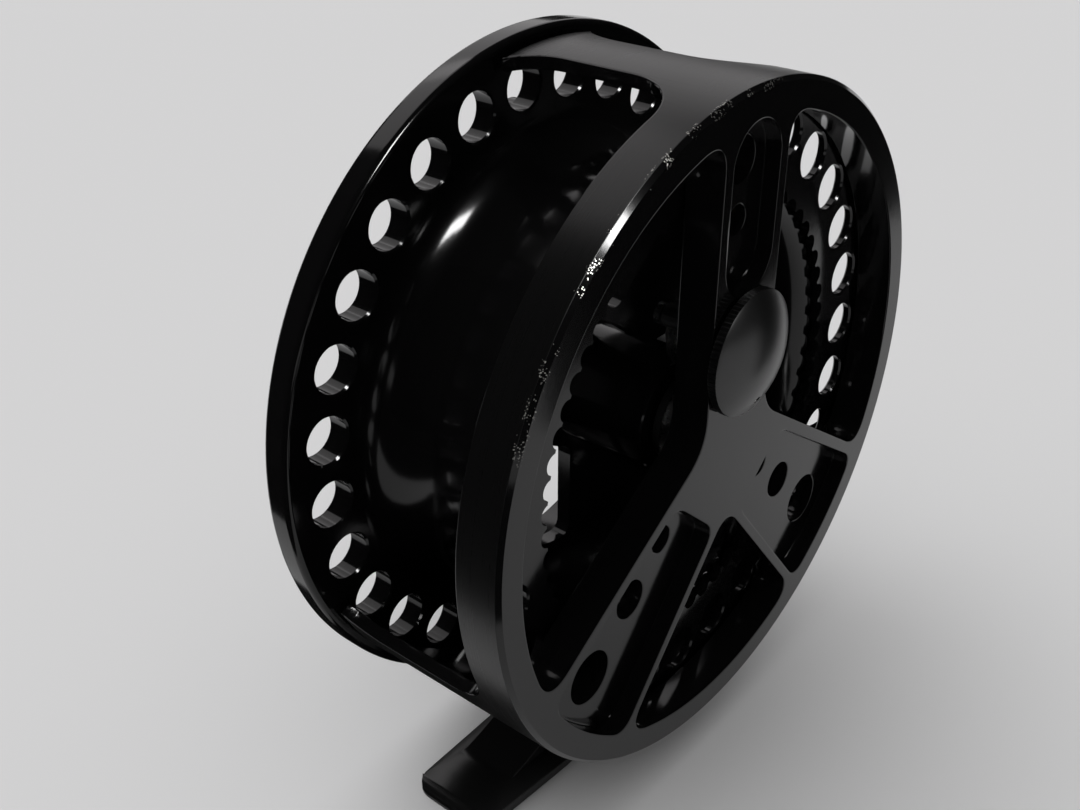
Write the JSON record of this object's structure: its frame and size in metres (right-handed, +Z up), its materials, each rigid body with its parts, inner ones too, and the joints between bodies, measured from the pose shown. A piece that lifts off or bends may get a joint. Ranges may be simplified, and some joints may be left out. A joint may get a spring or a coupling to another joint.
{
  "type": "fly fishing reel",
  "caption": "Large-arbor fly reel: pocketed half-cage frame on a reel foot, perforated spool with handle, click check with a regulator knob, and a sliding spool latch.",
  "frame": {"origin": "middle of the foot's underside", "axes": "+Z up through the axle, +Y along the axle from the regulator knob to the handle, X along the foot"},
  "size_m": [0.0928, 0.0593, 0.0984],
  "materials": {
    "black_anodise": "black gloss anodise",
    "knob_anodise": "black satin anodise",
    "foot_anodise": "black satin anodise",
    "stainless_steel": "turned",
    "spring_steel": "rolled",
    "bearing_bronze": "turned",
    "handle_resin": "satin",
    "washer_polymer": "matte"
  },
  "bodies": {
    "frame": {"frame_cage": "black_anodise", "reel_foot": "foot_anodise", "foot_screw_left": "stainless_steel", "foot_screw_right": "stainless_steel", "spindle": "stainless_steel", "thrust_washer": "washer_polymer", "regulator_bush": "bearing_bronze", "friction_washer": "washer_polymer", "pawl_pin": "stainless_steel", "pawl_clip": "spring_steel", "check_spring": "spring_steel", "spring_screw": "stainless_steel"},
    "spool_group": {"spool": "black_anodise", "rear_flange": "black_anodise", "rear_bush": "bearing_bronze", "front_bush": "bearing_bronze", "spool_cap": "black_anodise", "cap_screw_upper": "stainless_steel", "cap_screw_lower": "stainless_steel", "latch_spring": "spring_steel", "handle_post": "stainless_steel", "handle_screw": "stainless_steel", "counterweight": "black_anodise", "counterweight_screw": "stainless_steel"},
    "handle": {"handle_knob": "handle_resin"},
    "regulator": {"regulator_knob": "knob_anodise", "regulator_shaft": "stainless_steel", "regulator_cam": "stainless_steel", "cam_screw": "stainless_steel"},
    "pawl": {"check_pawl": "bearing_bronze"},
    "latch": {"latch_plate": "spring_steel"}
  },
  "joints": [
    {"name": "spool_spin", "type": "hinge", "parent": "frame", "child": "spool_group", "pos_m": [0, 0, 0.052], "axis": [0, 1, 0], "continuous": true},
    {"name": "handle_spin", "type": "hinge", "parent": "spool_group", "child": "handle", "pos_m": [0, 0.02, 0.0188], "axis": [0, 1, 0], "continuous": true},
    {"name": "regulator_turn", "type": "hinge", "parent": "frame", "child": "regulator", "pos_m": [0, -0.0196, 0.0643], "axis": [0, 1, 0], "range_deg": [-150, 150]},
    {"name": "pawl_rock", "type": "hinge", "parent": "frame", "child": "pawl", "pos_m": [0, -0.0136, 0.0758], "axis": [0, 1, 0], "range_deg": [-18, 18], "stiffness_Nm_per_rad": 0.01},
    {"name": "latch_slide", "type": "slide", "parent": "spool_group", "child": "latch", "axis": [1, 0, 0], "range_m": [0, 0.0026], "stiffness_N_per_m": 300, "springref_m": -0.001, "deforming": ["latch_spring"]}
  ]
}
